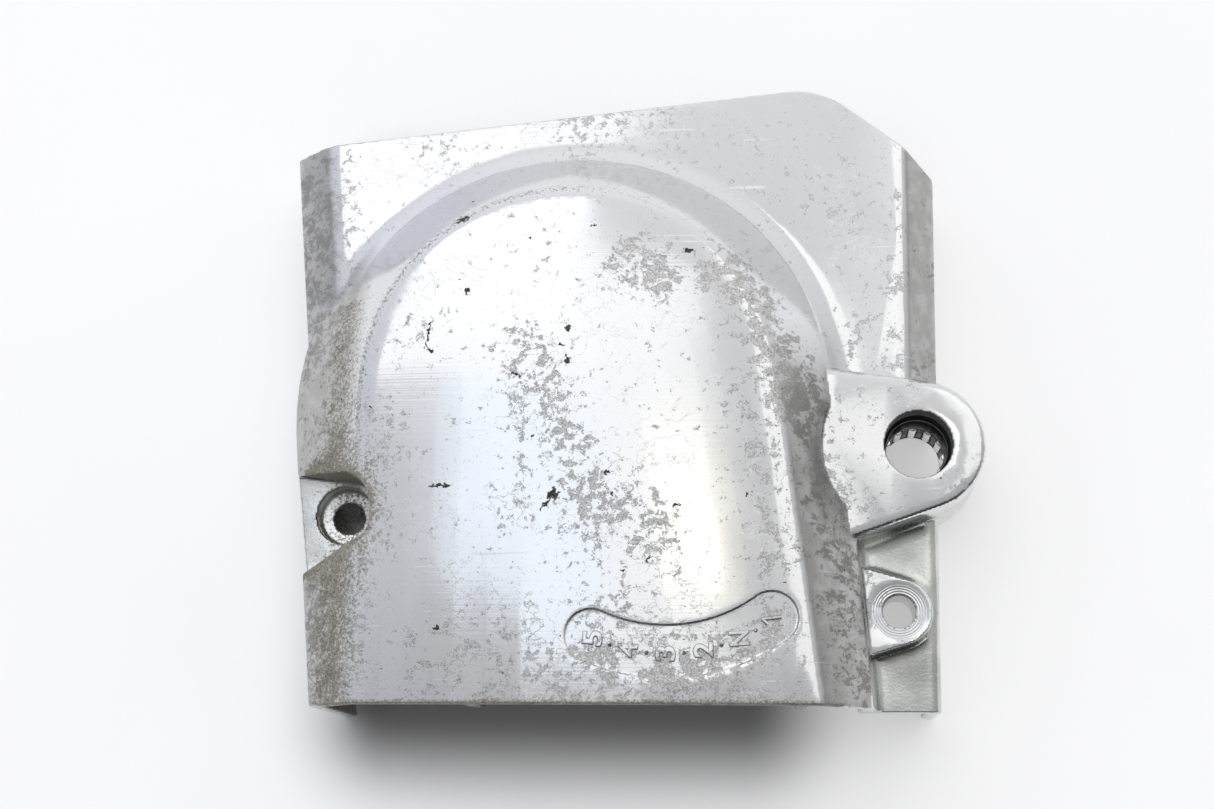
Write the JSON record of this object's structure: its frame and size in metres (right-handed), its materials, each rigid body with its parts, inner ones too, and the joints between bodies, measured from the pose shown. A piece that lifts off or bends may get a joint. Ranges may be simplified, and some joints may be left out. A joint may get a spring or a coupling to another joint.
{
  "type": "motorcycle sprocket cover",
  "caption": "Die-cast aluminium shell with an arched dome, a rear wing, screw bosses and a lug with a shift shaft needle bearing.",
  "frame": {"origin": "on the plane of the mating rim, under the middle of the cover's box", "axes": "+Z out of the cover's outer face, +X along the front cut edge towards the shift shaft lug, +Y towards the wing"},
  "size_m": [0.1564, 0.1394, 0.0475],
  "materials": {
    "cast_aluminium": "polished on the dome and wing, as cast on the shelf, with grey corrosion",
    "seal_rubber": "satin",
    "cup_steel": "drawn",
    "cage_steel": "phosphated",
    "roller_steel": "ground"
  },
  "bodies": {
    "casting": {"cover_casting": "cast_aluminium", "shift_shaft_dust_seal": "seal_rubber", "needle_bearing_cup": "cup_steel"},
    "cage": {"needle_bearing_cage": "cage_steel"},
    "roller_01": {"needle_roller_01": "roller_steel"},
    "roller_02": {"needle_roller_02": "roller_steel"},
    "roller_03": {"needle_roller_03": "roller_steel"},
    "roller_04": {"needle_roller_04": "roller_steel"},
    "roller_05": {"needle_roller_05": "roller_steel"},
    "roller_06": {"needle_roller_06": "roller_steel"},
    "roller_07": {"needle_roller_07": "roller_steel"},
    "roller_08": {"needle_roller_08": "roller_steel"},
    "roller_09": {"needle_roller_09": "roller_steel"},
    "roller_10": {"needle_roller_10": "roller_steel"},
    "roller_11": {"needle_roller_11": "roller_steel"},
    "roller_12": {"needle_roller_12": "roller_steel"}
  },
  "joints": [
    {"name": "cage_spin", "type": "hinge", "parent": "casting", "child": "cage", "pos_m": [0.06333, -0.01333, 0.0154], "axis": [0, 0, 1], "continuous": true},
    {"name": "roller_01_spin", "type": "hinge", "parent": "cage", "child": "roller_01", "pos_m": [0.07024, -0.01333, 0.0154], "axis": [0, 0, 1], "continuous": true},
    {"name": "roller_02_spin", "type": "hinge", "parent": "cage", "child": "roller_02", "pos_m": [0.06931, -0.00987, 0.0154], "axis": [0, 0, 1], "continuous": true},
    {"name": "roller_03_spin", "type": "hinge", "parent": "cage", "child": "roller_03", "pos_m": [0.06678, -0.00734, 0.0154], "axis": [0, 0, 1], "continuous": true},
    {"name": "roller_04_spin", "type": "hinge", "parent": "cage", "child": "roller_04", "pos_m": [0.06333, -0.00642, 0.0154], "axis": [0, 0, 1], "continuous": true},
    {"name": "roller_05_spin", "type": "hinge", "parent": "cage", "child": "roller_05", "pos_m": [0.05987, -0.00734, 0.0154], "axis": [0, 0, 1], "continuous": true},
    {"name": "roller_06_spin", "type": "hinge", "parent": "cage", "child": "roller_06", "pos_m": [0.05734, -0.00987, 0.0154], "axis": [0, 0, 1], "continuous": true},
    {"name": "roller_07_spin", "type": "hinge", "parent": "cage", "child": "roller_07", "pos_m": [0.05641, -0.01333, 0.0154], "axis": [0, 0, 1], "continuous": true},
    {"name": "roller_08_spin", "type": "hinge", "parent": "cage", "child": "roller_08", "pos_m": [0.05734, -0.01678, 0.0154], "axis": [0, 0, 1], "continuous": true},
    {"name": "roller_09_spin", "type": "hinge", "parent": "cage", "child": "roller_09", "pos_m": [0.05987, -0.01931, 0.0154], "axis": [0, 0, 1], "continuous": true},
    {"name": "roller_10_spin", "type": "hinge", "parent": "cage", "child": "roller_10", "pos_m": [0.06333, -0.02024, 0.0154], "axis": [0, 0, 1], "continuous": true},
    {"name": "roller_11_spin", "type": "hinge", "parent": "cage", "child": "roller_11", "pos_m": [0.06678, -0.01931, 0.0154], "axis": [0, 0, 1], "continuous": true},
    {"name": "roller_12_spin", "type": "hinge", "parent": "cage", "child": "roller_12", "pos_m": [0.06931, -0.01678, 0.0154], "axis": [0, 0, 1], "continuous": true}
  ],
  "couplings": [
    {"joint": "roller_01_spin", "follows": "cage_spin", "ratio": -8.05},
    {"joint": "roller_02_spin", "follows": "cage_spin", "ratio": -8.05},
    {"joint": "roller_03_spin", "follows": "cage_spin", "ratio": -8.05},
    {"joint": "roller_04_spin", "follows": "cage_spin", "ratio": -8.05},
    {"joint": "roller_05_spin", "follows": "cage_spin", "ratio": -8.05},
    {"joint": "roller_06_spin", "follows": "cage_spin", "ratio": -8.05},
    {"joint": "roller_07_spin", "follows": "cage_spin", "ratio": -8.05},
    {"joint": "roller_08_spin", "follows": "cage_spin", "ratio": -8.05},
    {"joint": "roller_09_spin", "follows": "cage_spin", "ratio": -8.05},
    {"joint": "roller_10_spin", "follows": "cage_spin", "ratio": -8.05},
    {"joint": "roller_11_spin", "follows": "cage_spin", "ratio": -8.05},
    {"joint": "roller_12_spin", "follows": "cage_spin", "ratio": -8.05}
  ]
}
